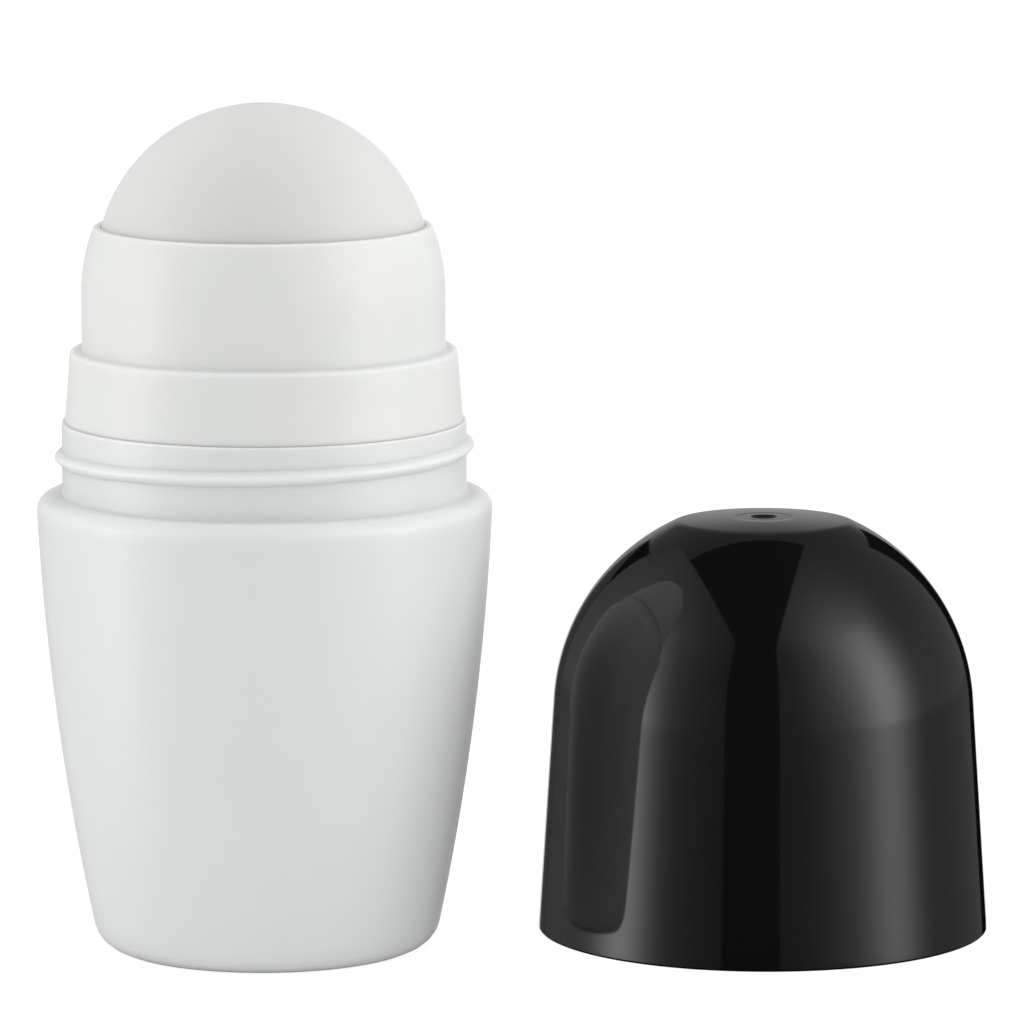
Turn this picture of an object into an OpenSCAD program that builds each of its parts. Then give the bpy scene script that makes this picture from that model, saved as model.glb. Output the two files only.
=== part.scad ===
// Roll-on bottle with its screw cap standing beside it.
// Millimetres, +Z up, standing on z = 0, centred on the pair's footprint.

/* [Ball] */
// Diameter of the roller ball
ball_d = 35.5; // [28:0.1:42]
// Wall of the hollow ball
ball_wall = 1.8; // [1:0.1:4]

/* [Ball housing] */
// Running gap between the ball and its socket
ball_gap = 0.2; // [0.1:0.05:0.4]
// Wall of the upper tier beside the ball's equator
socket_wall = 1.3; // [0.8:0.1:2.5]
// Height of the retaining lip above the ball's centre
lip_rise = 4.8; // [2.5:0.1:8]
// Thickness of the retaining lip
lip_t = 0.75; // [0.4:0.05:1.2]
// How far below the ball's centre the upper tier starts to curve in
crown_drop = 2.3; // [0:0.1:5]
// Height of the ball's centre above the step between the two tiers
ball_lift = 8.3; // [6:0.1:12]
// Width of the step between the two tiers
step_w = 1.25; // [0.6:0.05:2.5]
// Rounding of the step's outer edge
step_round = 0.5; // [0:0.05:1]
// Height of the lower tier
tier_h = 7.6; // [5:0.1:12]
// How much the lower tier widens towards its foot
tier_flare = 0.6; // [0:0.05:1.5]
// Wall of the lower tier
tier_wall = 1.2; // [0.8:0.1:1.8]
// Diameter of the seat ring that the ball is pressed on
seat_d = 18.2; // [14:0.1:22]
// Width of the seat ring's land, down to the port
seat_land = 1.6; // [0.8:0.1:3]
// Thickness of the floor that carries the seat ring
floor_t = 1.3; // [0.8:0.1:2.5]
// Number of ribs that guide the ball
rib_count = 12; // [6:1:18]
// Thickness of each rib
rib_t = 1; // [0.6:0.1:2]
// How far below the ball's centre the ribs end
rib_drop = 3.5; // [2:0.1:6]
// Depth of the plug inside the neck
plug_depth = 6; // [4:0.1:9]
// Wall of the plug
plug_wall = 1.1; // [0.7:0.1:1.8]
// Gap between the plug and the neck's bore
plug_gap = 0.1; // [0.05:0.05:0.3]
// Radius of the plug's snap bead
bead_r = 0.45; // [0.2:0.05:0.8]
// Clearance of the snap bead in its groove
bead_gap = 0.05; // [0.02:0.01:0.15]

/* [Bottle neck] */
// How far the neck stands out past the lower tier's foot
rim_margin = 0.35; // [0.1:0.05:1]
// Height of the neck
neck_h = 7.8; // [6:0.1:14]
// Wall of the neck
neck_wall = 1.6; // [1.2:0.1:2.2]
// Rounding of the neck's rim
rim_round = 0.35; // [0:0.05:0.7]
// Height of the screw thread's ridge, which the cap clears
thread_h = 0.8; // [0.4:0.05:1.5]

/* [Bottle body] */
// Height of the body, from the table to the foot of the neck
body_h = 48.8; // [35:0.1:80]
// Diameter that the body's wall would reach at the table without its rounding
base_d = 35.8; // [28:0.1:42]
// How far the body's side bulges out from a straight taper
body_bow = 1.1; // [0:0.02:2]
// Wall of the body
body_wall = 1.3; // [0.8:0.1:2.5]
// Thickness of the base
base_t = 1.6; // [1:0.1:3]
// Rounding of the base's edge
base_round = 3.2; // [1:0.1:4]
// Width of the ring that the bottle stands on
stand_w = 2.5; // [1.5:0.1:4]
// Height of the hollow under the base
pushup_h = 1; // [0.3:0.1:3]
// How far the shoulder stays inside the cap's rim
shoulder_inset = 0; // [0:0.05:0.5]
// Rounding of the shoulder's edge
shoulder_round = 1.6; // [0.5:0.1:2]
// Rounding at the foot of the neck
neck_foot_round = 0.4; // [0:0.05:0.8]

/* [Cap] */
// Wall of the cap
cap_wall = 1.5; // [1:0.1:2.2]
// Thickness of the cap's roof
cap_roof = 1.5; // [1:0.1:2]
// Gap between the thread's ridge and the inside of the cap
thread_gap = 0.5; // [0.2:0.05:1]
// Gap between the housing's upper tier and the inside of the dome
cap_side_gap = 1.9; // [1.5:0.05:4]
// Gap between the top of the ball and the cap's roof
cap_head_gap = 1.4; // [0.6:0.05:2.4]
// How far the middle of the top rises above its edge
top_crown = 0.45; // [0.1:0.05:1]
// Rounding of the top's edge
top_round = 2.4; // [0:0.1:3]
// Diameter of the gate dimple in the middle of the top
gate_d = 3; // [1.5:0.1:5]
// Depth of the gate dimple
gate_depth = 0.45; // [0.2:0.05:0.7]
// Diameter of the ring inside the roof that holds the ball on its seat
seal_d = 15; // [10:0.1:16.5]
// Thickness of that ring
seal_w = 1; // [0.6:0.1:1.5]
// Gap between that ring and the ball with the cap closed
seal_gap = 0.05; // [0:0.01:0.2]
// Rounding of the rim that the cap stands on
cap_rim_round = 0.25; // [0:0.05:0.5]

/* [Layout] */
// Free space between the bottle and the cap beside it
cap_stand_off = 5.5; // [2:0.1:40]
// Direction from the bottle to the cap
cap_angle = 9.1; // [-20:0.1:20]

/* [Hidden] */
$fn = 96;
// Pieces of one rounding, of one shallow side and of the cap's dome
round_steps = 5;
side_steps = 7;
dome_steps = 14;
// Share of the shorter side that a rounding may use up
round_share = 0.55;
// Share of the lip's thickness that each of its two edges is rounded by
lip_round_share = 0.45;
// Share of the plug's depth at which its snap bead sits
bead_share = 0.6;
// Share of the plug's wall that its tip loses to a lead-in
lead_share = 0.5;

// Radii, worked out from the ball outwards
ball_r = ball_d / 2;
socket_r = ball_r + ball_gap;
tier_r = socket_r + socket_wall;
step_r = tier_r + step_w;
foot_r = step_r + tier_flare;
tier_in_r = step_r - tier_wall;
neck_r = foot_r + rim_margin;
bore_r = neck_r - neck_wall;
plug_r = bore_r - plug_gap;
cap_in_r = neck_r + thread_h + thread_gap;
cap_r = cap_in_r + cap_wall;
shoulder_r = cap_r - shoulder_inset;
seat_r = seat_d / 2;
port_r = seat_r - seat_land;

// Heights, from the table up
rim_z = body_h + neck_h;
step_z = rim_z + tier_h;
ball_z = step_z + ball_lift;
lip_z = ball_z + lip_rise;
lip_in_r = sqrt(pow(socket_r, 2) - pow(lip_rise, 2));
floor_z = ball_z - sqrt(pow(socket_r, 2) - pow(seat_r, 2));

// The cap in its own heights, closed down on the shoulder: its dome is centred on the ball
dome_z = ball_z - body_h;
dome_r = tier_r + cap_side_gap + cap_wall;
edge_z = dome_z + ball_r + cap_head_gap + cap_roof;
top_r = sqrt(pow(dome_r, 2) - pow(edge_z - dome_z, 2));
cap_h = edge_z + top_crown;

// A vector cut down to length one, and the angle of a vector
function unit(v) = v / norm(v);
function angle(v) = atan2(v[1], v[0]);
function wrapped(a) = a > 180 ? a - 360 : a < -180 ? a + 360 : a;

// Points of an arc about a centre, from one angle to another
function arc(centre, r, from, to, steps) =
    [for (i = [0:steps]) centre + r * [cos(from + (to - from) * i / steps), sin(from + (to - from) * i / steps)]];

// The corner b between a and c, rounded to r as far as its sides allow
function corner(a, b, c, r) =
    let (u = unit(a - b), v = unit(c - b), half = acos(u * v) / 2)
    let (most = round_share * min(norm(a - b), norm(c - b)), fit = min(r, most * tan(half)))
    fit <= 0 ? [b] :
    let (centre = b + unit(u + v) * fit / sin(half), reach = fit / tan(half))
    let (from = angle(b + u * reach - centre), sweep = wrapped(angle(b + v * reach - centre) - from))
    arc(centre, fit, from, from + sweep, round_steps);

// An outline of [radius, height, rounding] corners as plain points
function rounded(path) =
    let (n = len(path), at = [for (p = path) [p[0], p[1]]])
    [for (i = [0:n - 1]) each corner(at[(i + n - 1) % n], at[i], at[(i + 1) % n], path[i][2])];

// Points of a shallow curve between two points that bulges to the right by bow
function bowed(a, b, bow, steps) =
    [for (i = [0:steps]) let (t = i / steps) a + (b - a) * t + [4 * bow * t * (1 - t), 0]];

// Points of a shallow dome from its middle out to a radius, or back when steps run down
function dome(r, foot, rise, from, to) =
    [for (i = [from:sign(to - from):to]) let (t = i / round_steps) [r * t, foot + rise * (1 - t * t), 0]];

// Angle at which a straight side from the rim touches the dome
function touch_angle(rim_r, r) =
    angle([rim_r, -dome_z]) + acos(r / norm([rim_r, dome_z]));

// Side of the cap's wall: the straight skirt, then the dome up to a height
function dome_side(rim_r, r, height) =
    arc([0, dome_z], r, touch_angle(rim_r, r), asin((height - dome_z) / r), dome_steps);

// The body's side between the table and the shoulder
body_side = bowed([base_d / 2, 0], [shoulder_r, body_h], body_bow, side_steps);
outer_side = [for (p = body_side) if (p[1] > 2 * base_round && p[1] < body_h) [p[0], p[1], 0]];
inner_side = [for (i = [len(outer_side) - 1:-1:0]) outer_side[i] - [body_wall, 0, 0]];

// The bottle's wall: outside from the hollow base up to the rim, then down the inside
stand_in_r = base_d / 2 - base_round - stand_w;
cavity_top = body_h - body_wall;
bottle_outline = rounded(concat(
    dome(stand_in_r, 0, pushup_h, 0, round_steps),
    [[base_d / 2, 0, base_round]],
    outer_side,
    [[shoulder_r, body_h, shoulder_round], [neck_r, body_h, neck_foot_round]],
    [[neck_r, rim_z, rim_round], [bore_r, rim_z, rim_round / 2]],
    [[bore_r, cavity_top, neck_foot_round], [shoulder_r - body_wall, cavity_top, shoulder_round]],
    inner_side,
    [[base_d / 2 - body_wall, base_t, base_round]],
    dome(stand_in_r, base_t, pushup_h, round_steps, 0)));
bottle_r = max([for (p = bottle_outline) p[0]]);

// Where the two things stand, so that the pair is centred on the origin
cap_reach = bottle_r + cap_r + cap_stand_off;
cap_dx = cap_reach * cos(cap_angle);
cap_dy = cap_reach * sin(cap_angle);
bottle_x = -(cap_dx + cap_r - bottle_r) / 2;
bottle_y = -(max(bottle_r, cap_dy + cap_r) + min(-bottle_r, cap_dy - cap_r)) / 2;

module at_bottle() {
    translate([bottle_x, bottle_y, 0]) children();
}

module at_cap() {
    translate([bottle_x + cap_dx, bottle_y + cap_dy, 0]) children();
}

// The bead on the plug, and with a clearance the groove that it snaps into
module snap_ring(clearance) {
    rotate_extrude()
        translate([plug_r, rim_z - bead_share * plug_depth])
            circle(r = bead_r + clearance);
}

module bottle() {
    color([0.93, 0.94, 0.93])
        at_bottle()
            difference() {
                rotate_extrude() polygon(bottle_outline);
                snap_ring(bead_gap);
            }
}

// Wall of the housing: lip and upper tier, step, lower tier, foot on the rim, plug
module housing_wall() {
    plug_end = rim_z - plug_depth;
    crown_z = ball_z - crown_drop;
    lip_out_r = lip_in_r + lip_t;
    lip_round = lip_t * lip_round_share;
    rise = lip_z - crown_z;
    crown_in = tier_r - lip_out_r;
    crown_r = (pow(rise, 2) + pow(crown_in, 2)) / (2 * crown_in);
    crown = arc([tier_r - crown_r, crown_z], crown_r, 0, asin(rise / crown_r), side_steps);
    outline = rounded(concat(
        [[plug_r - plug_wall, plug_end, 0], [plug_r - plug_wall * lead_share, plug_end, 0]],
        [[plug_r, plug_end + plug_wall, 0], [plug_r, rim_z, 0]],
        [[foot_r, rim_z, 0], [step_r, step_z, step_round], [tier_r, step_z, 0]],
        [for (i = [0:side_steps - 1]) [crown[i][0], crown[i][1], 0]],
        [[lip_out_r, lip_z, lip_round], [lip_in_r, lip_z, lip_round]],
        [[socket_r, ball_z, 0], [socket_r, step_z + tier_wall, 0]],
        [[tier_in_r, step_z - tier_wall, 0], [tier_in_r, rim_z + tier_wall, 0]],
        [[plug_r - plug_wall, rim_z, 0]]));
    rotate_extrude() polygon(outline);
}

// Floor of the socket, whose inner edge is the seat ring round the port
module seat_floor() {
    rotate_extrude()
        translate([port_r, floor_z - floor_t])
            square([(tier_in_r + plug_r) / 2 - port_r, floor_t]);
}

// One rib along the wall and over the floor, before the ball's room is cut out
module guide_rib() {
    outline = [
        [seat_r, floor_z - floor_t / 2],
        [tier_in_r, floor_z - floor_t / 2],
        [tier_in_r + tier_wall / 2, step_z - tier_wall],
        [socket_r + socket_wall / 2, step_z + tier_wall],
        [socket_r + socket_wall / 2, ball_z - rib_drop],
        [seat_r, ball_z - rib_drop],
    ];
    rotate([90, 0, 0])
        translate([0, 0, -rib_t / 2])
            linear_extrude(rib_t) polygon(outline);
}

module ball_housing() {
    color([0.88, 0.89, 0.88, 0.9])
        at_bottle() {
            difference() {
                union() {
                    housing_wall();
                    snap_ring(0);
                    seat_floor();
                    for (i = [0:rib_count - 1])
                        rotate(i * 360 / rib_count) guide_rib();
                }
                translate([0, 0, ball_z]) sphere(r = socket_r);
            }
        }
}

module roller_ball() {
    color([0.84, 0.84, 0.83])
        at_bottle()
            translate([0, 0, ball_z])
                difference() {
                    sphere(r = ball_r);
                    sphere(r = ball_r - ball_wall);
                }
}

// Ring under the cap's roof, cut to the ball that it presses on its seat
module seal_ring() {
    out_r = (seal_d + seal_w) / 2;
    foot_z = dome_z + sqrt(pow(ball_r, 2) - pow(out_r, 2));
    difference() {
        rotate_extrude()
            translate([out_r - seal_w, foot_z])
                square([seal_w, edge_z - cap_roof / 2 - foot_z]);
        translate([0, 0, dome_z]) sphere(r = ball_r + seal_gap);
    }
}

module cap_shell() {
    in_z = edge_z - cap_roof;
    outside = dome_side(cap_r, dome_r, edge_z);
    inside = dome_side(cap_in_r, dome_r - cap_wall, in_z);
    outline = rounded(concat(
        [[cap_in_r, 0, cap_rim_round], [cap_r, 0, cap_rim_round]],
        [for (i = [0:dome_steps - 1]) [outside[i][0], outside[i][1], 0]],
        [[top_r, edge_z, top_round]],
        dome(top_r, edge_z, top_crown, round_steps - 1, 0),
        [[0, in_z, 0]],
        [for (i = [dome_steps:-1:0]) [inside[i][0], inside[i][1], 0]]));
    rotate_extrude() polygon(outline);
}

// Ball-nosed dimple where the moulding's gate was
module gate_dimple() {
    nose_r = (pow(gate_d / 2, 2) + pow(gate_depth, 2)) / (2 * gate_depth);
    translate([0, 0, cap_h - gate_depth + nose_r]) sphere(r = nose_r);
}

module cap() {
    color([0.03, 0.03, 0.03])
        at_cap() {
            difference() {
                cap_shell();
                gate_dimple();
            }
            seal_ring();
        }
}

bottle();
ball_housing();
roller_ball();
cap();
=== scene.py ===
"""Roll-on bottle with a hollow ball in its housing, and its screw cap standing beside it."""

import logging
import math
from dataclasses import dataclass, field
from enum import Enum

import bmesh
import bpy
from bmesh.types import BMesh, BMVert
from mathutils import Matrix, Vector


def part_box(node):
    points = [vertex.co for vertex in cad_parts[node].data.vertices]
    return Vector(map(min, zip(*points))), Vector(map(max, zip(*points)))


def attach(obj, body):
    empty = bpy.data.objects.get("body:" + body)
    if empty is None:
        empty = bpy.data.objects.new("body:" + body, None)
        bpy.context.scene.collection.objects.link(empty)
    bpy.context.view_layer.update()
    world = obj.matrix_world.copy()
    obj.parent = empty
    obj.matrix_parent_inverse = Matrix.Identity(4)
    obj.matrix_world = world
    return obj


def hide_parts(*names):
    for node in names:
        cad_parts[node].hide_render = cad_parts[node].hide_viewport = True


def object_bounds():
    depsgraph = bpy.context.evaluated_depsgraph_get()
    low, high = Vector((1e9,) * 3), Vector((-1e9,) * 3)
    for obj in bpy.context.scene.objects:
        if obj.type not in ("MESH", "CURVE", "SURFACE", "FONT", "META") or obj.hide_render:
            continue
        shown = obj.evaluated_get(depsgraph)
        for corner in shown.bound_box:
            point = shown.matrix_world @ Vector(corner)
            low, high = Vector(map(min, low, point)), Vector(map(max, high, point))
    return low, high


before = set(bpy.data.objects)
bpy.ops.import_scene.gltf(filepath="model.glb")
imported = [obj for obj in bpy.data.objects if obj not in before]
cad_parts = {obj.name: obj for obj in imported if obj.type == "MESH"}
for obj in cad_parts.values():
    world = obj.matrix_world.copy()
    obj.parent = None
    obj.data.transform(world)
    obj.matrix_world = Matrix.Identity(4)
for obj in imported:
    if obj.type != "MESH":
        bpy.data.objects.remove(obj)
CAD_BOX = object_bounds()

log = logging.getLogger("roll_on_bottle")

# Millimetres to Blender's metres
MM = 0.001
# Faces across one rounding
ROUND_STEPS = 5
# Vertices closer than this are one, in millimetres
MERGE = 1e-4
# Edges bent by more than this are drawn sharp, in degrees
SHARP_ANGLE = 38


class Body(Enum):
    """The parts that move as one."""

    BOTTLE = "bottle"
    BALL = "ball"
    CAP = "cap"


@dataclass(frozen=True)
class Room:
    """The room that a frame node takes: its upright axis, radius and heights, in millimetres."""

    x: float
    y: float
    radius: float
    foot: float
    top: float

    @classmethod
    def of(cls, node: str) -> "Room":
        """Reads a node's room.

        Args:
            node: Name of the frame's node.

        Returns:
            The node's room.
        """
        low, high = (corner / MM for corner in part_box(node))
        middle = (low + high) / 2
        return cls(middle.x, middle.y, (high.x - low.x) / 2, low.z, high.z)

    def axis(self) -> Vector:
        """Gives the point where the axis meets the table, in metres."""
        return Vector((self.x, self.y, 0)) * MM

    def middle(self) -> float:
        """Gives the height of its middle."""
        return (self.foot + self.top) / 2

    def reach(self) -> float:
        """Gives half its height, which is the radius of a ball."""
        return (self.top - self.foot) / 2


class Outline:
    """Half a section, right of the Z axis and in millimetres, that is turned into a solid."""

    def __init__(self, x: float, z: float) -> None:
        """Starts the line at a point.

        Args:
            x: Radius of the point.
            z: Height of the point.
        """
        self.mesh: BMesh = bmesh.new()
        self.start: BMVert = bmesh.ops.create_vert(self.mesh, co=(x, 0, z))["vert"][0]
        self.last: BMVert = self.start
        self.corners: list[tuple[BMVert, float]] = []

    def mark(self, radius: float) -> None:
        """Notes the rounding of the corner at the line's end.

        Args:
            radius: Rounding of the corner, or zero for none.
        """
        if radius > 0:
            self.corners.append((self.last, radius))

    def to(self, x: float, z: float, radius: float = 0) -> None:
        """Draws a straight line.

        Args:
            x: Radius of the line's end.
            z: Height of the line's end.
            radius: Rounding of that corner.
        """
        self.last = bmesh.ops.extrude_vert_indiv(self.mesh, verts=[self.last])["verts"][0]
        self.last.co = (x, 0, z)
        self.mark(radius)

    def swing(self, x: float, z: float, degrees: float, steps: int, radius: float = 0) -> None:
        """Draws an arc about a centre.

        Args:
            x: Radius of the centre.
            z: Height of the centre.
            degrees: Angle of the arc, positive from +X towards +Z.
            steps: Number of edges along it.
            radius: Rounding of the corner at its end.
        """
        spun = bmesh.ops.spin(
            self.mesh,
            geom=[self.last],
            cent=(x, 0, z),
            axis=(0, -1, 0),
            angle=math.radians(degrees),
            steps=steps,
        )
        self.last = next(item for item in spun["geom_last"] if isinstance(item, BMVert))
        self.mark(radius)

    def bow(self, x: float, z: float, bulge: float, steps: int, lead: float = 0, radius: float = 0) -> None:
        """Draws an arc to a point.

        Args:
            x: Radius of the arc's end.
            z: Height of the arc's end.
            bulge: How far its middle stands out to the right of the way it is drawn.
            steps: Number of edges along it.
            lead: Length of a first and a last edge, which leave room for roundings.
            radius: Rounding of the corner at its end.
        """
        first = self.last.co.copy()
        chord = Vector((x, 0, z)) - first
        bend = (chord.length_squared / 4 + bulge**2) / (2 * bulge)
        left = Vector((-chord.z, 0, chord.x)).normalized()
        centre = first + chord / 2 + left * (bend - bulge)
        whole = math.degrees(2 * math.asin(chord.length / 2 / bend))
        end = math.degrees(lead / bend)
        if lead > 0:
            self.swing(centre.x, centre.z, end, 1)
        self.swing(centre.x, centre.z, whole - 2 * end, steps)
        if lead > 0:
            self.swing(centre.x, centre.z, end, 1)
        self.last.co = (x, 0, z)
        self.mark(radius)

    def close(self) -> None:
        """Joins the line's end to its start."""
        bmesh.ops.contextual_create(self.mesh, geom=[self.last, self.start])

    def round_corners(self) -> None:
        """Bevels each corner that has a rounding."""
        for vertex, radius in self.corners:
            sides = [edge.other_vert(vertex).co - vertex.co for edge in vertex.link_edges]
            reach = radius / math.tan(sides[0].angle(sides[1]) / 2)
            bmesh.ops.bevel(
                self.mesh,
                geom=[vertex],
                affect="VERTICES",
                offset=reach,
                offset_type="OFFSET",
                segments=ROUND_STEPS,
                profile=0.5,
                material=-1,
            )
        self.corners.clear()

    def divide(
        self, longest: float, low: float = -math.inf, high: float = math.inf, inner: float = 0
    ) -> None:
        """Cuts long edges into shorter ones.

        Args:
            longest: Greatest length that an edge may keep.
            low: Lowest height of the edges that are cut.
            high: Greatest height of the edges that are cut.
            inner: Least radius of the edges that are cut.
        """
        for edge in self.mesh.edges[:]:
            middle = (edge.verts[0].co + edge.verts[1].co) / 2
            cuts = math.ceil(edge.calc_length() / longest - MERGE) - 1
            if cuts > 0 and low < middle.z < high and middle.x > inner:
                bmesh.ops.subdivide_edges(self.mesh, edges=[edge], cuts=cuts)

    def turn(self, segments: int) -> BMesh:
        """Turns the line once round the Z axis.

        Args:
            segments: Number of faces round the axis.

        Returns:
            The closed solid.
        """
        line = self.mesh.verts[:] + self.mesh.edges[:]
        bmesh.ops.spin(
            self.mesh,
            geom=line,
            cent=(0, 0, 0),
            axis=(0, 0, 1),
            angle=math.tau,
            steps=segments,
            use_merge=True,
        )
        bmesh.ops.remove_doubles(self.mesh, verts=self.mesh.verts, dist=MERGE)
        bmesh.ops.recalc_face_normals(self.mesh, faces=self.mesh.faces)
        return self.mesh

    def plate(self, thickness: float) -> BMesh:
        """Fills the closed line and gives it a thickness across the section.

        Args:
            thickness: Thickness of the plate.

        Returns:
            The closed plate.
        """
        bmesh.ops.contextual_create(self.mesh, geom=self.mesh.edges[:])
        grown = bmesh.ops.extrude_face_region(self.mesh, geom=self.mesh.faces[:], use_keep_orig=True)
        moved = [item for item in grown["geom"] if isinstance(item, BMVert)]
        bmesh.ops.translate(self.mesh, verts=moved, vec=(0, thickness, 0))
        bmesh.ops.translate(self.mesh, verts=self.mesh.verts, vec=(0, -thickness / 2, 0))
        bmesh.ops.recalc_face_normals(self.mesh, faces=self.mesh.faces)
        return self.mesh


@dataclass(frozen=True)
class ThreadRidge:
    """A screw thread's ridge, one start, moulded on a round wall, in millimetres and degrees."""

    height: float
    width: float
    pitch: float
    # Height and angle at which it starts, the angle that it covers, and that over which each end fades
    lowest: float
    start: float
    sweep: float
    run_out: float = 22
    # 0.5 is an ellipse, and more gives it soft feet
    fullness: float = 1.1

    def stands(self, angle: float, z: float) -> float:
        """Gives how far the ridge stands out at a place on the wall.

        Args:
            angle: Angle round the axis.
            z: Height.

        Returns:
            The ridge's height there, zero beside it.
        """
        along = (angle - self.start) % 360
        across = abs(z - self.lowest - self.pitch * along / 360) / (self.width / 2)
        if along >= self.sweep or across >= 1:
            return 0
        fade = min(1, along / self.run_out, (self.sweep - along) / self.run_out)
        return self.height * (1 - across**2) ** self.fullness * fade * fade * (3 - 2 * fade)

    def press(self, mesh: BMesh, inner: float, outer: float, outward: int = 1) -> None:
        """Moves a wall's vertices out or in to form the ridge.

        Args:
            mesh: The turned solid, round the Z axis.
            inner: Least radius of the wall's face.
            outer: Greatest radius of the wall's face.
            outward: 1 for a ridge outside a wall, -1 for one inside it.
        """
        for vertex in mesh.verts:
            radius = math.hypot(vertex.co.x, vertex.co.y)
            if inner < radius < outer:
                angle = math.degrees(math.atan2(vertex.co.y, vertex.co.x))
                share = 1 + outward * self.stands(angle, vertex.co.z) / radius
                vertex.co.x *= share
                vertex.co.y *= share


def linear(colour: str) -> tuple[float, float, float, float]:
    """Turns an sRGB hex colour into the linear values that sockets take.

    Args:
        colour: The colour as #RRGGBB.

    Returns:
        Red, green, blue and alpha.
    """
    shares = [int(colour[i : i + 2], 16) / 255 for i in (1, 3, 5)]
    plain = [s / 12.92 if s <= 0.04045 else ((s + 0.055) / 1.055) ** 2.4 for s in shares]
    return plain[0], plain[1], plain[2], 1.0


def add_node(
    tree: bpy.types.NodeTree, kind: str, sockets: dict[str | int, object] | None = None, **settings: object
) -> bpy.types.Node:
    """Adds one node.

    Args:
        tree: Node tree that takes it.
        kind: Blender's name for its type.
        sockets: Inputs by name or number, each a plain value or the output that feeds it.
        settings: The node's own properties.

    Returns:
        The new node.
    """
    node = tree.nodes.new(kind)
    for name, value in settings.items():
        setattr(node, name, value)
    for socket, value in (sockets or {}).items():
        if isinstance(value, bpy.types.NodeSocket):
            tree.links.new(value, node.inputs[socket])
        else:
            node.inputs[socket].default_value = value
    return node


@dataclass(frozen=True)
class Pattern:
    """A pattern of noise in a plastic, with its sizes in millimetres."""

    size: float
    detail: float = 2
    roughness: float = 0.5
    # Second colour that it mixes in, and the levels of the noise between which that colour fades in
    colour: str | None = None
    fade: tuple[float, float] | None = None
    # Height of its relief
    height: float = 0
    # Whether it lies in level rings, as a lathe leaves them in a mould
    rings: bool = False


@dataclass(frozen=True)
class Finish:
    """A plastic's finish: its colour, gloss, patterns and the way light sinks into it."""

    name: str
    colour: str
    roughness: float
    ior: float
    # Share of the light that sinks in, and how deep it goes, in millimetres
    depth_share: float = 0
    depth: float = 1
    patterns: tuple[Pattern, ...] = ()

    def build(self, centre: Vector) -> bpy.types.Material:
        """Makes the material.

        Args:
            centre: Where the piece's axis meets the table, in metres.

        Returns:
            The material.
        """
        material = bpy.data.materials.new(self.name)
        material.use_nodes = True
        tree = material.node_tree
        shader = tree.nodes["Principled BSDF"]
        shader.inputs["Base Color"].default_value = linear(self.colour)
        shader.inputs["Roughness"].default_value = self.roughness
        shader.inputs["IOR"].default_value = self.ior
        shader.inputs["Subsurface Weight"].default_value = self.depth_share
        shader.inputs["Subsurface Scale"].default_value = self.depth * MM
        shader.inputs["Subsurface Radius"].default_value = (1, 1, 1)
        place = add_node(tree, "ShaderNodeTexCoord").outputs["Object"]
        centred = add_node(tree, "ShaderNodeMapping", {"Vector": place, "Location": -centre})
        for pattern in self.patterns:
            self.add_pattern(pattern, tree, shader, centred.outputs["Vector"])
        return material

    def add_pattern(
        self, pattern: Pattern, tree: bpy.types.NodeTree, shader: bpy.types.Node, place: bpy.types.NodeSocket
    ) -> None:
        """Adds one pattern to the material.

        Args:
            pattern: The pattern.
            tree: The material's node tree.
            shader: Its shader.
            place: Coordinates in metres from the piece's axis.
        """
        scale = 1 / (pattern.size * MM)
        sockets = {"Scale": scale, "Detail": pattern.detail, "Roughness": pattern.roughness}
        if pattern.rings:
            height = add_node(tree, "ShaderNodeSeparateXYZ", {"Vector": place}).outputs["Z"]
            noise = add_node(tree, "ShaderNodeTexNoise", {"W": height, **sockets}, noise_dimensions="1D")
        else:
            noise = add_node(tree, "ShaderNodeTexNoise", {"Vector": place, **sockets})
        level = noise.outputs["Fac"]
        if pattern.height > 0:
            bump = add_node(
                tree, "ShaderNodeBump", {"Height": level, "Distance": pattern.height * MM, "Strength": 1}
            )
            tree.links.new(bump.outputs["Normal"], shader.inputs["Normal"])
        if pattern.fade:
            level = add_node(
                tree,
                "ShaderNodeMapRange",
                {"Value": level, "From Min": pattern.fade[0], "From Max": pattern.fade[1]},
                interpolation_type="SMOOTHSTEP",
            ).outputs["Result"]
        if pattern.colour:
            tone = add_node(
                tree,
                "ShaderNodeMix",
                {"Factor": level, "A": linear(self.colour), "B": linear(pattern.colour)},
                data_type="RGBA",
            )
            tree.links.new(tone.outputs["Result"], shader.inputs["Base Color"])


@dataclass(frozen=True)
class BlowMouldedPolyethylene(Finish):
    """White high-density polyethylene, blown into a mould: a smooth satin skin with a faint waviness."""

    name: str = "blow_moulded_polyethylene"
    colour: str = "#DADCDB"
    roughness: float = 0.36
    ior: float = 1.54
    depth_share: float = 1
    depth: float = 1.2
    patterns: tuple[Pattern, ...] = (
        # Soft clouds where the wall cooled unevenly
        Pattern(size=14, detail=3, colour="#D6D8D7"),
        # Waviness of the skin
        Pattern(size=2.2, height=0.006),
    )


@dataclass(frozen=True)
class NaturalPolypropylene(Finish):
    """Unpigmented polypropylene, injection-moulded: milky, so that light sinks in and tints the wall."""

    name: str = "natural_polypropylene"
    colour: str = "#D8DAD8"
    roughness: float = 0.4
    ior: float = 1.49
    depth_share: float = 1
    depth: float = 0.8
    patterns: tuple[Pattern, ...] = (
        # Clouds of a warmer white
        Pattern(size=9, roughness=0.4, colour="#DBDAD6", fade=(0.4, 0.7)),
        # Fine grain of the mould
        Pattern(size=0.5, height=0.002),
    )


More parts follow.
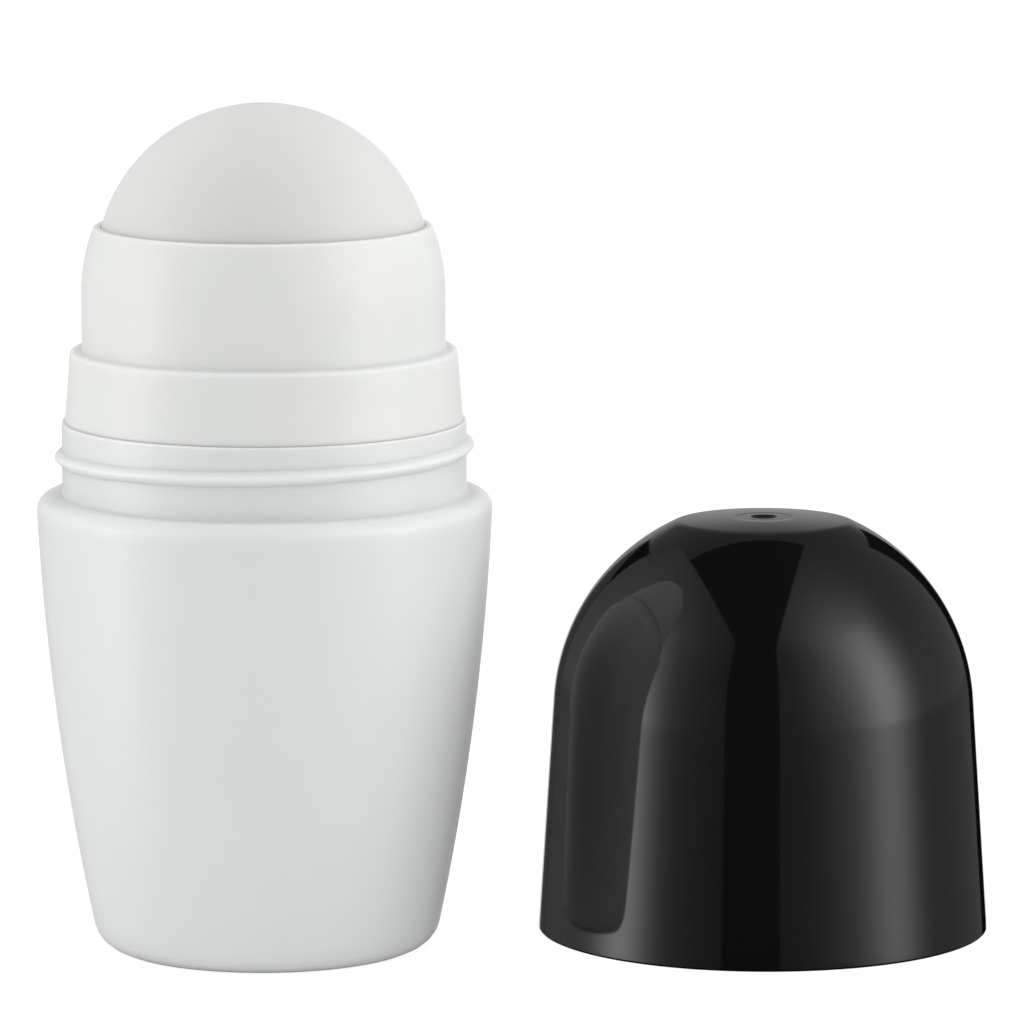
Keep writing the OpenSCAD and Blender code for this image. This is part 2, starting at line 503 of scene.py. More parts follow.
@dataclass(frozen=True)
class TumbledPolypropylene(Finish):
    """Natural polypropylene ball, tumbled to a fine matte skin: no sharp highlight, and a faint speckle."""

    name: str = "tumbled_polypropylene"
    colour: str = "#D1D1CF"
    roughness: float = 0.5
    ior: float = 1.49
    depth_share: float = 1
    depth: float = 3
    patterns: tuple[Pattern, ...] = (
        # The speckle is both colour and relief
        Pattern(size=0.28, detail=3, roughness=0.6, colour="#CBCBC9", height=0.012),
    )


@dataclass(frozen=True)
class PolishedPolypropylene(Finish):
    """Black polypropylene from a polished mould: mirror-like, with the faint rings of the mould's turning."""

    name: str = "polished_black_polypropylene"
    colour: str = "#0E0E0E"
    roughness: float = 0.06
    ior: float = 1.5
    patterns: tuple[Pattern, ...] = (
        # The rings are drawn coarser than real lathe marks, so that they show
        Pattern(size=0.45, height=0.0004, rings=True),
    )


def make_piece(
    name: str, mesh: BMesh, room: Room, finish: Finish, body: Body, node: str
) -> bpy.types.Object:
    """Puts a solid on its axis, dresses it and lets it stand for its frame node.

    Args:
        name: Name of the piece.
        mesh: The solid, in millimetres, with its axis on the Z axis.
        room: Room of the frame node that gives the axis.
        finish: The piece's finish.
        body: What the piece moves with.
        node: The frame node that it stands for.

    Returns:
        The finished piece.
    """
    place = Matrix.Translation(room.axis()) @ Matrix.Scale(MM, 4)
    bmesh.ops.transform(mesh, matrix=place, verts=mesh.verts)
    data = bpy.data.meshes.new(name)
    mesh.to_mesh(data)
    mesh.free()
    data.shade_smooth()
    data.set_sharp_from_angle(angle=math.radians(SHARP_ANGLE))
    data.materials.append(finish.build(room.axis()))
    piece = bpy.data.objects.new(name, data)
    bpy.context.scene.collection.objects.link(piece)
    even = piece.modifiers.new("even_shading", "WEIGHTED_NORMAL")
    even.keep_sharp = True
    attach(piece, body.value)
    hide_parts(node)
    return piece


@dataclass
class Bottle:
    """The blown bottle: hollow base, bowed sides, flat shoulder and threaded neck, in millimetres."""

    base_radius: float = 17.9
    # How far the sides bulge
    bow: float = 1.09
    wall: float = 1.3
    base_wall: float = 1.6
    base_round: float = 3.2
    # The ring that it stands on, and the hollow inside that
    stand_width: float = 2.5
    hollow: float = 1
    # Bulge of the hollow's curve, as a share of its height
    hollow_share: float = 0.25
    shoulder_round: float = 1.6
    neck_height: float = 7.8
    neck_radius: float = 21.45
    neck_wall: float = 1.6
    neck_foot_round: float = 0.45
    rim_round: float = 0.18
    # Groove for the housing's bead: its depth, and how far it lies under the rim
    groove_depth: float = 0.4
    groove_drop: float = 3.6
    segments: int = 256
    # Spacing of the rings that carry the thread's ridge, and of the others
    fine: float = 0.11
    coarse: float = 1.3
    # Edges along the sides, the hollow and the groove
    side_steps: int = 34
    inner_side_steps: int = 20
    hollow_steps: int = 8
    inner_hollow_steps: int = 6
    groove_steps: int = 6
    thread: ThreadRidge = ThreadRidge(height=0.8, width=1.6, pitch=2.3, lowest=52.28, start=100, sweep=340)
    finish: Finish = field(default_factory=BlowMouldedPolyethylene)

    def build(self) -> bpy.types.Object:
        """Makes the bottle.

        Returns:
            The piece.
        """
        room = Room.of("bottle")
        shoulder_radius = Room.of("cap").radius
        rim = room.top
        shoulder = rim - self.neck_height
        bore = self.neck_radius - self.neck_wall
        stand_in = self.base_radius - self.base_round - self.stand_width
        ceiling = shoulder - self.wall
        groove = rim - self.groove_drop
        lead = self.base_round
        line = Outline(0, self.hollow)
        line.bow(stand_in, 0, -self.hollow * self.hollow_share, self.hollow_steps)
        line.to(self.base_radius, 0, self.base_round)
        line.bow(shoulder_radius, shoulder, self.bow, self.side_steps, lead, self.shoulder_round)
        line.to(self.neck_radius, shoulder, self.neck_foot_round)
        line.to(self.neck_radius, rim, self.rim_round)
        line.to(bore, rim, self.rim_round / 2)
        line.to(bore, groove + self.groove_depth)
        line.bow(bore, groove - self.groove_depth, -self.groove_depth, self.groove_steps)
        line.to(bore, ceiling, self.neck_foot_round)
        line.to(shoulder_radius - self.wall, ceiling, self.shoulder_round)
        foot = self.base_radius - self.wall
        line.bow(foot, self.base_wall, -self.bow, self.inner_side_steps, lead, self.base_round)
        line.to(stand_in, self.base_wall)
        inner_hollow = self.base_wall + self.hollow
        line.bow(0, inner_hollow, self.hollow * self.hollow_share, self.inner_hollow_steps)
        line.round_corners()
        line.divide(self.fine, shoulder, rim, bore + self.neck_wall / 2)
        line.divide(self.coarse)
        mesh = line.turn(self.segments)
        self.thread.press(mesh, self.neck_radius - MERGE, self.neck_radius + MERGE)
        return make_piece(
            "bottle_shell", mesh, room, self.finish, Body.BOTTLE, "bottle"
        )


@dataclass
class BallHousing:
    """The housing plugged into the neck: two tiers, a curled lip, a seat and guide ribs, in millimetres."""

    running_gap: float = 0.2
    # The lip's edge wipes the ball, so that it lies closer
    lip_gap: float = 0.06
    socket_wall: float = 1.3
    lip: float = 0.75
    lip_round: float = 0.34
    wiping_round: float = 0.1
    # How far under the ball's centre the crown's curve starts and the step lies
    crown_drop: float = 2.3
    ball_lift: float = 8.3
    step_width: float = 1.25
    step_round: float = 0.5
    step_fillet: float = 0.45
    # How much wider the lower tier is at its foot
    flare: float = 0.6
    tier_wall: float = 1.2
    seat_radius: float = 9.1
    seat_land: float = 1.6
    floor: float = 1.3
    plug_wall: float = 1.1
    plug_gap: float = 0.1
    # The bead's radius, and how far down the plug it lies, as a share
    bead: float = 0.45
    bead_share: float = 0.6
    # Number and thickness of the ribs, how far under the ball's centre they end, and their root
    ribs: int = 12
    rib: float = 1
    rib_drop: float = 3.5
    rib_root: float = 0.3
    segments: int = 256
    coarse: float = 0.9
    # Edges along the bead, the crown under the lip, the socket and a rib
    bead_steps: int = 8
    crown_steps: int = 16
    socket_steps: int = 8
    rib_steps: int = 16
    finish: Finish = field(default_factory=NaturalPolypropylene)

    def __post_init__(self) -> None:
        """Works out radii and heights from the ball outwards."""
        ball = Room.of("roller_ball")
        self.room = Room.of("ball_housing")
        self.rim = Room.of("bottle").top
        self.centre = ball.middle()
        self.socket = ball.reach() + self.running_gap
        self.tier = self.socket + self.socket_wall
        self.step = self.tier + self.step_width
        self.step_z = self.centre - self.ball_lift
        self.tier_in = self.step - self.tier_wall
        self.seat_z = self.centre - self.fall(self.seat_radius)
        self.plug = Bottle.neck_radius - Bottle.neck_wall - self.plug_gap
        self.plug_in = self.plug - self.plug_wall

    def fall(self, radius: float) -> float:
        """Gives how far under the ball's centre the socket's sphere lies at a radius."""
        return math.sqrt(self.socket**2 - radius**2)

    def build(self) -> bpy.types.Object:
        """Makes the housing.

        Returns:
            The piece.
        """
        mesh = self.make_wall()
        store = bpy.data.meshes.new("guide_ribs")
        ribs = self.make_ribs()
        ribs.to_mesh(store)
        ribs.free()
        mesh.from_mesh(store)
        bpy.data.meshes.remove(store)
        return make_piece(
            "ball_housing_shell", mesh, self.room, self.finish, Body.BOTTLE, "ball_housing"
        )

    def make_wall(self) -> BMesh:
        """Turns the wall, the seat and the plug.

        Returns:
            The closed solid.
        """
        crown_z = self.centre - self.crown_drop
        lip_rise = self.room.top - self.centre
        lip_in = math.sqrt((self.socket - self.running_gap + self.lip_gap) ** 2 - lip_rise**2)
        rise = self.room.top - crown_z
        inward = self.tier - lip_in - self.lip
        crown = (rise**2 + inward**2) / (2 * inward)
        bead_z = self.rim - self.bead_share * (self.rim - self.room.foot)
        port = self.seat_radius - self.seat_land
        lean = (self.tier_in - self.plug_in) * (self.seat_z - self.rim) / self.tier_wall
        line = Outline(self.plug_in, self.room.foot)
        line.to(self.plug - self.plug_wall / 2, self.room.foot)
        line.to(self.plug, self.room.foot + self.plug_wall)
        line.to(self.plug, bead_z - self.bead)
        line.bow(self.plug, bead_z + self.bead, self.bead, self.bead_steps)
        line.to(self.plug, self.rim)
        line.to(self.step + self.flare, self.rim)
        line.to(self.step, self.step_z, self.step_round)
        line.to(self.tier, self.step_z, self.step_fillet)
        line.to(self.tier, crown_z)
        curl = math.degrees(math.asin(rise / crown))
        line.swing(self.tier - crown, crown_z, curl, self.crown_steps, self.lip_round)
        line.to(lip_in, self.room.top, self.wiping_round)
        line.bow(self.socket, self.centre, self.fall(lip_rise / 2) - self.socket, self.socket_steps)
        line.to(self.socket, self.step_z + self.tier_wall)
        line.to(self.tier_in, self.step_z - self.tier_wall)
        line.to(self.tier_in, self.rim + self.tier_wall)
        line.to(self.plug_in + lean, self.seat_z)
        line.to(self.seat_radius, self.seat_z)
        line.to(port, self.centre - self.fall(port))
        line.to(port, self.seat_z - self.floor)
        line.to(self.plug_in, self.seat_z - self.floor)
        line.close()
        line.round_corners()
        line.divide(self.coarse)
        return line.turn(self.segments)

    def make_ribs(self) -> BMesh:
        """Makes the ribs that guide the ball, each rooted a little way into the wall.

        Returns:
            The closed plates.
        """
        top = self.centre - self.rib_drop
        turn = math.asin(self.rib_drop / self.socket) - math.acos(self.seat_radius / self.socket)
        line = Outline(self.seat_radius, self.seat_z - self.rib_root)
        line.to(self.tier_in + self.rib_root, self.seat_z - self.rib_root)
        line.to(self.tier_in + self.rib_root, self.step_z - self.tier_wall)
        line.to(self.socket + self.rib_root, self.step_z + self.tier_wall)
        line.to(self.socket + self.rib_root, top)
        line.to(self.fall(self.rib_drop), top)
        line.swing(0, self.centre, math.degrees(turn), self.rib_steps)
        line.close()
        mesh = line.plate(self.rib)
        bmesh.ops.spin(
            mesh,
            geom=mesh.verts[:] + mesh.edges[:] + mesh.faces[:],
            cent=(0, 0, 0),
            axis=(0, 0, 1),
            angle=math.tau * (self.ribs - 1) / self.ribs,
            steps=self.ribs - 1,
            use_duplicate=True,
        )
        return mesh


@dataclass
class RollerBall:
    """The hollow ball, in millimetres."""

    wall: float = 1.8
    rings: int = 128
    segments: int = 224
    finish: Finish = field(default_factory=TumbledPolypropylene)

    def build(self) -> bpy.types.Object:
        """Makes the ball.

        Returns:
            The piece.
        """
        room = Room.of("roller_ball")
        line = Outline(0, room.foot)
        line.swing(0, room.middle(), 180, self.rings)
        mesh = line.turn(self.segments)
        bmesh.ops.solidify(mesh, geom=mesh.faces[:], thickness=self.wall)
        return make_piece(
            "roller_ball_shell", mesh, room, self.finish, Body.BALL, "roller_ball"
        )


@dataclass
class ScrewCap:
    """The screw cap: tapered skirt, round dome and gently crowned top, in millimetres."""

    wall: float = 1.5
    roof: float = 1.5
    dome_radius: float = 22.65
    # Height of the top's edge over the dome's centre
    dome_drop: float = 20.65
    top_round: float = 2.4
    # How far the top's middle stands over its edge
    crown: float = 0.45
    # Bulge of the top outside the well, as a share of the crown, and the length of its end edges
    crown_share: float = 1 / 9
    crown_lead: float = 1
    rim_round: float = 0.25
    gate_radius: float = 1.5
    gate_depth: float = 0.4
    gate_round: float = 0.15
    # Bulge of the gate's hollow, as a share of its depth, and the length of its end edges
    gate_share: float = 0.25
    gate_lead: float = 0.3
    # Shallow well round the gate
    well_radius: float = 3.15
    well_depth: float = 0.02
    well_edge: float = 0.15
    # Ring under the roof that closes on the ball
    seal_radius: float = 8
    seal_width: float = 1
    seal_gap: float = 0.05
    # Heights between which the inside has finer rings, and how far it may narrow there
    threaded_low: float = 0.5
    threaded_high: float = 6.5
    draft: float = 1
    segments: int = 320
    fine: float = 0.2
    coarse: float = 0.9
    arc_steps: int = 44
    crown_steps: int = 10
    gate_steps: int = 8
    thread: ThreadRidge = ThreadRidge(height=0.9, width=1.6, pitch=2.3, lowest=1.7, start=60, sweep=340)
    finish: Finish = field(default_factory=PolishedPolypropylene)

    @staticmethod
    def touch(rim: float, dome: float, centre: float) -> float:
        """Gives the angle at which a straight skirt meets the dome.

        Args:
            rim: Radius of the skirt at its rim.
            dome: Radius of the dome.
            centre: Height of the dome's centre above the rim.

        Returns:
            The angle above the dome's equator, in degrees.
        """
        return math.degrees(math.atan2(-centre, rim) + math.acos(dome / math.hypot(rim, centre)))

    def build(self) -> bpy.types.Object:
        """Makes the cap.

        Returns:
            The piece.
        """
        room = Room.of("cap")
        edge_z = room.top - self.crown
        centre = edge_z - self.dome_drop
        rim_in = room.radius - self.wall
        dome_in = self.dome_radius - self.wall
        roof_z = edge_z - self.roof
        roof_r = math.sqrt(dome_in**2 - (roof_z - centre) ** 2)
        roof_angle = math.degrees(math.asin((roof_z - centre) / dome_in))
        touch_in = self.touch(rim_in, dome_in, centre)
        touch_out = self.touch(room.radius, self.dome_radius, centre)
        top_angle = math.degrees(math.asin(self.dome_drop / self.dome_radius))
        top_r = self.dome_radius * math.cos(math.radians(top_angle))
        well_z = edge_z + self.crown * (1 - (self.well_radius / top_r) ** 2)
        middle_z = room.top - self.well_depth
        seal_in = self.seal_radius - self.seal_width
        ball = Room.of("roller_ball")
        pressed = ball.reach() + self.seal_gap
        line = Outline(0, roof_z)
        line.to(seal_in, roof_z)
        line.to(seal_in, centre + math.sqrt(pressed**2 - seal_in**2))
        line.to(self.seal_radius, centre + math.sqrt(pressed**2 - self.seal_radius**2))
        line.to(self.seal_radius, roof_z)
        line.to(roof_r, roof_z)
        line.swing(0, centre, touch_in - roof_angle, self.arc_steps // 2)
        line.to(rim_in, 0, self.rim_round)
        line.to(room.radius, 0, self.rim_round)
        touch = math.radians(touch_out)
        line.to(self.dome_radius * math.cos(touch), centre + self.dome_radius * math.sin(touch))
        line.swing(0, centre, top_angle - touch_out, self.arc_steps, self.top_round)
        bulge = self.crown * self.crown_share
        line.bow(self.well_radius, well_z, bulge, self.crown_steps, self.crown_lead)
        line.to(self.well_radius - self.well_edge, well_z - self.well_depth)
        line.to(self.gate_radius, middle_z, self.gate_round)
        dip = self.gate_depth * self.gate_share
        line.bow(0, middle_z - self.gate_depth, -dip, self.gate_steps, self.gate_lead)
        line.round_corners()
        line.divide(self.fine, self.threaded_low, self.threaded_high, rim_in - self.wall)
        line.divide(self.coarse)
        mesh = line.turn(self.segments)
        self.thread.press(mesh, rim_in - self.draft, rim_in + self.wall / 2, outward=-1)
        return make_piece("cap_shell", mesh, room, self.finish, Body.CAP, "cap")


@dataclass(frozen=True)
class Viewpoint:
    """Where the picture is taken from, in millimetres and degrees."""

    across: float = -0.42
    back: float = 840.6
    height: float = 174.07
    tilt: float = 8.666
    roll: float = -0.1
    lens: float = 280.1
    sensor: float = 36
    clip_near: float = 50
    clip_far: float = 50000

    def build(self) -> None:
        """Makes the camera and gives it to the scene."""
        data = bpy.data.cameras.new("viewpoint")
        data.sensor_width = self.sensor
        data.lens = self.lens
        data.clip_start = self.clip_near * MM
        data.clip_end = self.clip_far * MM
        camera = bpy.data.objects.new("viewpoint", data)
        pitch = Matrix.Rotation(math.radians(90 - self.tilt), 4, "X")
        camera.matrix_world = (
            Matrix.Translation(Vector((self.across, -self.back, self.height)) * MM)
            @ pitch
            @ Matrix.Rotation(math.radians(self.roll), 4, "Z")
        )
        bpy.context.scene.collection.objects.link(camera)
        bpy.context.scene.camera = camera


class Side(Enum):
    """The sides of the light tent, by their sign along X."""

    LEFT = -1
    RIGHT = 1


@dataclass(frozen=True)
class Glow:
    """A lamp's soft glow on a diffuser, in millimetres and degrees from the camera's side."""

    strength: float
    angle: float
    height: float
    wide: float
    deep: float
    tall: float


@dataclass(frozen=True)
class Screen:
    """One curved, back-lit diffuser beside the object; angles are degrees from the camera's side."""

    side: Side
    # The lamp behind it: power in watts and angle
    power: float
    turn: float
    front: float
    rear: float
    # The ceiling's inner edge: its distance from the middle, and how much that grows towards the rear
    slit: float
    slant: float
    # Its even glow, to which those of the lamps add
    level: float
    glows: tuple[Glow, ...]


@dataclass(frozen=True)
class Band:
    """A band of the rear screen that glows more: full below one height, none above another."""

    low: float
    high: float
    gain: float


@dataclass
class Studio:
    """The light tent round the object, in millimetres: two diffusers, rear screen, dark lining and floor."""

    radius: float = 500
    ceiling: float = 400
    # How far the dark lining stands behind the screens, and how far these reach below the table
    lining_gap: float = 40
    below: float = 160
    # Share of a screen's radius that its bend to the ceiling takes, the hole left in the middle,
    # the degrees across one face, and the gap between screens that overlap
    bend_share: float = 0.125
    hole: float = 1
    facet: float = 5
    screen_gap: float = 1
    lining_segments: int = 64
    # The middle of the tent, on the cap's axis
    centre: Vector = field(default_factory=lambda: Room.of("cap").axis() / MM)
    screens: tuple[Screen, ...] = (
        Screen(
            side=Side.LEFT,
            power=0.5,
            turn=110,
            front=22,
            rear=150,
            slit=175,
            slant=0.11,
            level=0,
            glows=(
                Glow(strength=3.47, angle=77.8, height=-6, wide=128, deep=121, tall=292),
                Glow(strength=0.69, angle=88, height=205, wide=468, deep=354, tall=1500),
            ),
        ),
        Screen(
            side=Side.RIGHT,
            power=1.05,
            turn=101,
            front=7,
            rear=150,
            slit=88,
            slant=0.1,
            level=0.135,
            glows=(
                Glow(strength=2.13, angle=69, height=87, wide=125, deep=105, tall=363),
                Glow(strength=1.5, angle=57, height=323, wide=217, deep=300, tall=439),
                Glow(strength=0.17, angle=102, height=-100, wide=400, deep=231, tall=900),
            ),
        ),
    )
    # Light from under the table's height comes weaker, changing over this much height each way
    below_share: float = 0.75
    below_blur: float = 10
    # The rear screen: narrow low down, and widening above a height
    rear_half_angle: float = 75
    rear_half_width: float = 130
    rear_spread_height: float = 162
    rear_spread_slope: float = 1.28
    # Its ceiling ends this far behind the middle
    rear_slit: float = 168
    # Its level above the bands
    rear_dim: float = 0.15
    rear_bands: tuple[Band, ...] = (Band(low=110, high=250, gain=0.27), Band(low=-30, high=20, gain=0.5))
    # Dim strip between the left diffuser and the rear screen: first angle, angle covered and strength
    strip_turn: float = -170
    strip_sweep: float = 22
    strip_level: float = 0.09
    lamp_height: float = 130
    lamp_width: float = 300
    # Light from all round, at the height of the eye and from straight above
    ambient: float = 0.98
    zenith: float = 1.2
    # Half the floor's width, and how far it reaches in front of the object
    floor_half_width: float = 1500
    floor_front: float = 34
    floor_glow: float = 0.9
    # What the bright table adds from below
    floor_bounce: float = 0.12
    floor_shade: str = "#7C7C7C"
    floor_colour: str = "#F0F0F0"

    def build(self) -> None:
        """Makes the lights, the floor and the world."""
        for screen in self.screens:
            self.hang(screen)
            self.place_lamp(screen)
        self.hang_rear()
        self.hang_strip()
        self.line_walls()
        self.lay_floor()
        self.fill_world()

    def shell(self, radius: float, ceiling: float, foot: float, start: float, sweep: float) -> BMesh:
        """Spins a wall with a ceiling.

        Args:
            radius: Radius of the wall.
            ceiling: Height of the ceiling.
            foot: Height of the wall's foot.
            start: First angle, from the camera's side towards +X.
            sweep: Angle that it covers.

        Returns:
            The open shell, in millimetres, round the Z axis.
        """
        line = Outline(radius, foot)
        line.to(radius, ceiling, radius * self.bend_share)
        line.to(self.hole, ceiling)
        line.round_corners()
        line.divide(radius * self.bend_share)
        bmesh.ops.rotate(
            line.mesh,
            verts=line.mesh.verts,
            matrix=Matrix.Rotation(math.radians(start - 90), 3, "Z"),
        )
        bmesh.ops.spin(
            line.mesh,
            geom=line.mesh.verts[:] + line.mesh.edges[:],
            cent=(0, 0, 0),
            axis=(0, 0, 1),
            angle=math.radians(sweep),
            steps=round(sweep / self.facet),
        )
        return line.mesh

    @staticmethod
    def cut(mesh: BMesh, point: tuple[float, float, float], normal: tuple[float, float, float]) -> None:
        """Cuts a plane through a shell and clears what lies past it.

        Args:
            mesh: The shell.
            point: A point of the plane.
            normal: Direction of the side that is cleared.
        """
        bmesh.ops.bisect_plane(
            mesh,
            geom=mesh.verts[:] + mesh.edges[:] + mesh.faces[:],
            plane_co=point,
            plane_no=normal,
            clear_outer=True,
        )

    def set_up(
        self, name: str, mesh: BMesh, material: bpy.types.Material, mirrored: bool = False
    ) -> None:
        """Stands a piece of the studio round the object.

        Args:
            name: Name of the piece.
            mesh: Its mesh, in millimetres, round the Z axis.
            material: Its material.
            mirrored: Whether the piece shows in reflections and nowhere else.
        """
        place = Matrix.Translation(self.centre * MM) @ Matrix.Scale(MM, 4)
        bmesh.ops.transform(mesh, matrix=place, verts=mesh.verts)
        data = bpy.data.meshes.new(name)
        mesh.to_mesh(data)
        mesh.free()
        data.materials.append(material)
        piece = bpy.data.objects.new(name, data)
        bpy.context.scene.collection.objects.link(piece)
        piece.visible_glossy = mirrored
        for ray in ("camera", "diffuse", "transmission", "shadow", "volume_scatter"):
            setattr(piece, "visible_" + ray, not mirrored)

    @staticmethod
    def glow(name: str, strength: float) -> tuple[bpy.types.Material, bpy.types.Node]:
        """Makes a light-giving material.

        Args:
            name: Name of the material.
            strength: How strongly it glows.

        Returns:
            The material and its emission node.
        """
        material = bpy.data.materials.new(name)
        material.use_nodes = True
        tree = material.node_tree
        tree.nodes.clear()
        light = add_node(tree, "ShaderNodeEmission", {"Strength": strength})
        add_node(tree, "ShaderNodeOutputMaterial", {"Surface": light.outputs[0]})
        return material, light

    def hang(self, screen: Screen) -> None:
        """Hangs one diffuser with the soft glow of the lamps behind it.

        Args:
            screen: The diffuser.
        """
        side = screen.side.value
        start = screen.front if side > 0 else -screen.rear
        name = "diffuser_" + screen.side.name.lower()
        mesh = self.shell(self.radius, self.ceiling, -self.below, start, screen.rear - screen.front)
        self.cut(mesh, (side * screen.slit, 0, 0), (-side, screen.slant, 0))
        material, light = self.glow(name, 1)
        tree = material.node_tree
        place = add_node(tree, "ShaderNodeTexCoord").outputs["Object"]
        level: bpy.types.NodeSocket | float = screen.level
        for lamp in screen.glows:
            turn = math.radians(side * lamp.angle)
            spot = self.centre + Vector((math.sin(turn), -math.cos(turn), 0)) * self.radius
            spot.z = lamp.height
            inside = add_node(
                tree,
                "ShaderNodeMapping",
                {
                    "Vector": place,
                    "Location": spot * MM,
                    "Rotation": (0, 0, turn),
                    "Scale": (lamp.wide * MM, lamp.deep * MM, lamp.tall * MM),
                },
                vector_type="TEXTURE",
            )
            square = add_node(
                tree,
                "ShaderNodeVectorMath",
                {0: inside.outputs[0], 1: inside.outputs[0]},
                operation="DOT_PRODUCT",
            )
            fall = add_node(
                tree, "ShaderNodeMath", {0: square.outputs["Value"], 1: -1.0}, operation="MULTIPLY"
            )
            bell = add_node(tree, "ShaderNodeMath", {0: fall.outputs[0]}, operation="EXPONENT")
            level = add_node(
                tree,
                "ShaderNodeMath",
                {0: bell.outputs[0], 1: lamp.strength, 2: level},
                operation="MULTIPLY_ADD",
            ).outputs[0]
        height = add_node(tree, "ShaderNodeSeparateXYZ", {"Vector": place})
        share = add_node(
            tree,
            "ShaderNodeMapRange",
            {
                "Value": height.outputs["Z"],
                "From Min": -self.below_blur * MM,
                "From Max": self.below_blur * MM,
                "To Min": self.below_share,
                "To Max": 1.0,
            },
        )
        whole = add_node(tree, "ShaderNodeMath", {0: level, 1: share.outputs[0]}, operation="MULTIPLY")
        tree.links.new(whole.outputs[0], light.inputs["Strength"])
        self.set_up(name, mesh, material, mirrored=True)

    def place_lamp(self, screen: Screen) -> None:
        """Places the lamp behind a diffuser, which lights without showing in reflections.

        Args:
            screen: The diffuser.
        """
        turn = math.radians(screen.side.value * screen.turn)
        data = bpy.data.lights.new("lamp_" + screen.side.name.lower(), "AREA")
        data.energy = screen.power
        data.size = self.lamp_width * MM
        spot = Vector((math.sin(turn), -math.cos(turn), 0)) * self.radius
        spot.z = self.lamp_height
        aim = spot.to_track_quat("Z", "Y").to_matrix().to_4x4()
        piece = bpy.data.objects.new(data.name, data)
        piece.matrix_world = Matrix.Translation((self.centre + spot) * MM) @ aim
        piece.visible_glossy = False
        bpy.context.scene.collection.objects.link(piece)

    def hang_rear(self) -> None:
        """Hangs the screen behind the object: white low down, dim above and overhead."""
        material, light = self.glow("rear_screen", 1)
        tree = material.node_tree
        place = add_node(tree, "ShaderNodeTexCoord").outputs["Object"]
        height = add_node(tree, "ShaderNodeSeparateXYZ", {"Vector": place}).outputs["Z"]
        level: bpy.types.NodeSocket | float = self.rear_dim
        for band in self.rear_bands:
            share = add_node(
                tree,
                "ShaderNodeMapRange",
                {"Value": height, "From Min": band.high * MM, "From Max": band.low * MM},
                interpolation_type="SMOOTHSTEP",
            )
            level = add_node(
                tree,
                "ShaderNodeMath",
                {0: share.outputs[0], 1: band.gain, 2: level},
                operation="MULTIPLY_ADD",
            ).outputs[0]
        tree.links.new(level, light.inputs["Strength"])
        start = 180 - self.rear_half_angle
        radius = self.radius + self.screen_gap
        ceiling = self.ceiling + self.screen_gap
        # Each part's cleared side, up or down, and its outer edge's normal across and up
        parts = {"low": (1, 1, 0), "high": (-1, self.rear_spread_slope, -1)}
        for part, (cleared, across, up) in parts.items():
            mesh = self.shell(radius, ceiling, -self.below, start, 2 * self.rear_half_angle)
            self.cut(mesh, (0, 0, self.rear_spread_height), (0, 0, cleared))
            self.cut(mesh, (0, self.rear_slit, 0), (0, -1, 0))
            for side in Side:
                corner = (side.value * self.rear_half_width, 0, self.rear_spread_height)
                self.cut(mesh, corner, (side.value * across, 0, up))
            self.set_up("rear_screen_" + part, mesh, material, mirrored=True)

    def hang_strip(self) -> None:
        """Hangs the dim strip beside the rear screen."""
        material, _ = self.glow("dim_strip", self.strip_level)
        radius = self.radius + 2 * self.screen_gap
        mesh = self.shell(radius, self.ceiling, -self.below, self.strip_turn, self.strip_sweep)
        self.cut(mesh, (0, 0, self.rear_spread_height), (0, 0, 1))
        self.set_up("dim_strip", mesh, material, mirrored=True)

    def line_walls(self) -> None:
        """Sets the dark lining round the tent, which only reflections see."""
        reach = self.radius + self.lining_gap
        mesh = bmesh.new()
        bmesh.ops.create_cone(
            mesh,
            cap_ends=True,
            segments=self.lining_segments,
            radius1=reach,
            radius2=reach,
            depth=2 * reach,
        )
        material, _ = self.glow("dark_lining", 0)
        self.set_up("dark_lining", mesh, material, mirrored=True)

    @staticmethod
    def shows(tree: bpy.types.NodeTree) -> bpy.types.NodeSocket:
        """Tells the rays that show a surface from those that only light something with it.

        Args:
            tree: Node tree that takes the nodes.

        Returns:
            1 for a camera, glossy or transmission ray, and 0 for any other.
        """
        path = add_node(tree, "ShaderNodeLightPath")
        level: bpy.types.NodeSocket | float = 0.0
        for ray in ("Is Camera Ray", "Is Glossy Ray", "Is Transmission Ray"):
            level = add_node(
                tree, "ShaderNodeMath", {0: level, 1: path.outputs[ray]}, operation="ADD", use_clamp=True
            ).outputs[0]
        return level

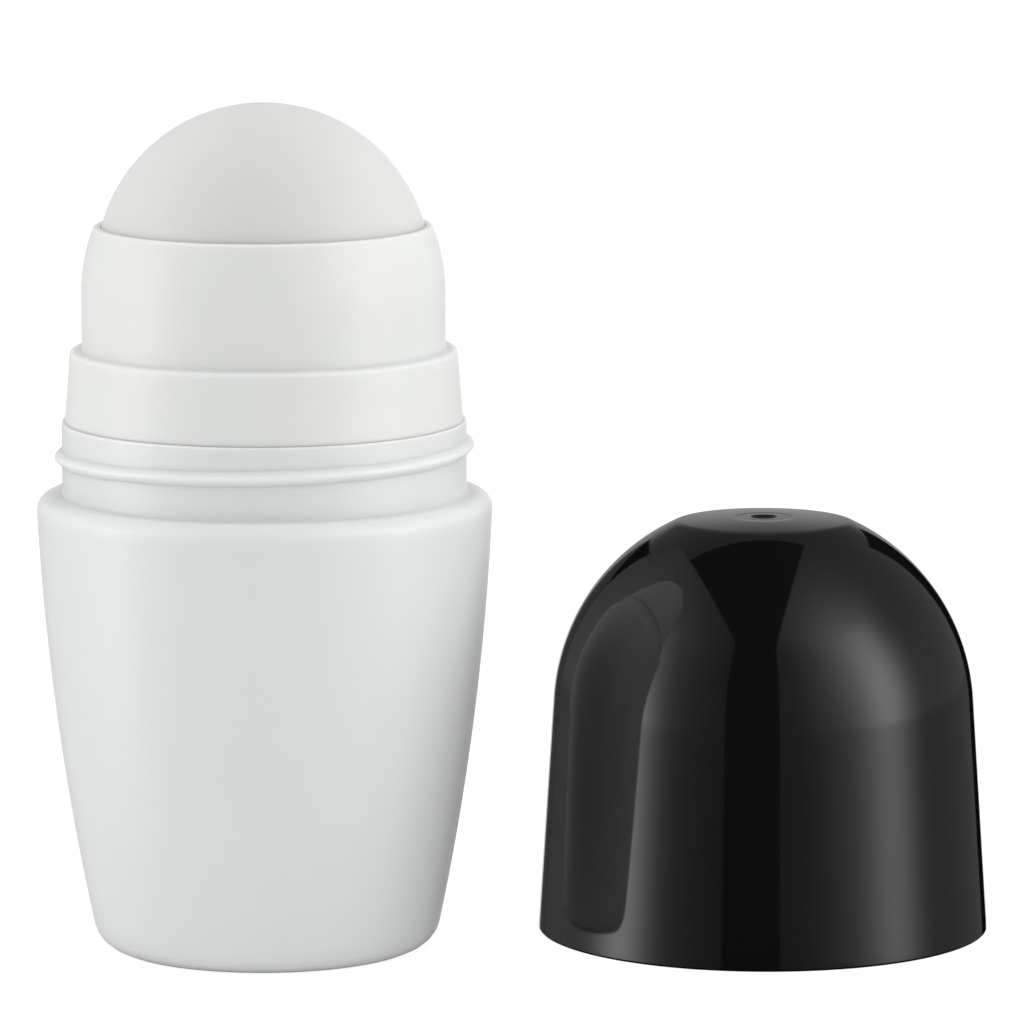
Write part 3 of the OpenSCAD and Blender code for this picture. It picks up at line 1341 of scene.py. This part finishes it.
    def lay_floor(self) -> None:
        """Lays the floor, white to the eye, which keeps a faint shadow."""
        low = min(corner.y for corner in CAD_BOX) / MM - self.floor_front
        mesh = bmesh.new()
        bmesh.ops.create_grid(mesh, x_segments=1, y_segments=1, size=self.floor_half_width)
        shift = low + self.floor_half_width - self.centre.y
        bmesh.ops.translate(mesh, verts=mesh.verts, vec=(0, shift, 0))
        material = bpy.data.materials.new("floor_paper")
        material.use_nodes = True
        tree = material.node_tree
        tree.nodes.clear()
        paper = add_node(tree, "ShaderNodeBsdfDiffuse", {"Color": linear(self.floor_colour)})
        dim = add_node(tree, "ShaderNodeBsdfDiffuse", {"Color": linear(self.floor_shade)})
        bounce = add_node(tree, "ShaderNodeEmission", {"Strength": self.floor_bounce})
        light = add_node(tree, "ShaderNodeEmission", {"Strength": self.floor_glow})
        lit = add_node(tree, "ShaderNodeAddShader", {0: paper.outputs[0], 1: bounce.outputs[0]})
        both = add_node(tree, "ShaderNodeAddShader", {0: dim.outputs[0], 1: light.outputs[0]})
        mix = add_node(
            tree, "ShaderNodeMixShader", {0: self.shows(tree), 1: lit.outputs[0], 2: both.outputs[0]}
        )
        add_node(tree, "ShaderNodeOutputMaterial", {"Surface": mix.outputs[0]})
        self.set_up("floor", mesh, material)

    def fill_world(self) -> None:
        """Makes the world white to the eye and plain to everything else."""
        world = bpy.data.worlds.new("studio")
        world.use_nodes = True
        bpy.context.scene.world = world
        tree = world.node_tree
        tree.nodes.clear()
        way = add_node(tree, "ShaderNodeTexCoord").outputs["Generated"]
        height = add_node(tree, "ShaderNodeSeparateXYZ", {"Vector": way}).outputs["Z"]
        around = add_node(
            tree, "ShaderNodeMapRange", {"Value": height, "To Min": self.ambient, "To Max": self.zenith}
        ).outputs["Result"]
        level = add_node(
            tree, "ShaderNodeMix", {"Factor": self.shows(tree), "A": around, "B": 1.0}, data_type="FLOAT"
        )
        light = add_node(
            tree, "ShaderNodeBackground", {"Color": (1, 1, 1, 1), "Strength": level.outputs["Result"]}
        )
        add_node(tree, "ShaderNodeOutputWorld", {"Surface": light.outputs[0]})


def main() -> None:
    """Builds the camera, the object and the studio, and reports each piece."""
    logging.basicConfig(level=logging.INFO, format="%(message)s")
    Viewpoint().build()
    for part in (Bottle(), BallHousing(), RollerBall(), ScrewCap()):
        piece = part.build()
        log.info("%s: %d faces of %s", piece.name, len(piece.data.polygons), part.finish.name)
    Studio().build()
    bpy.context.scene.view_settings.view_transform = "Standard"


if __name__ == "__main__":
    main()
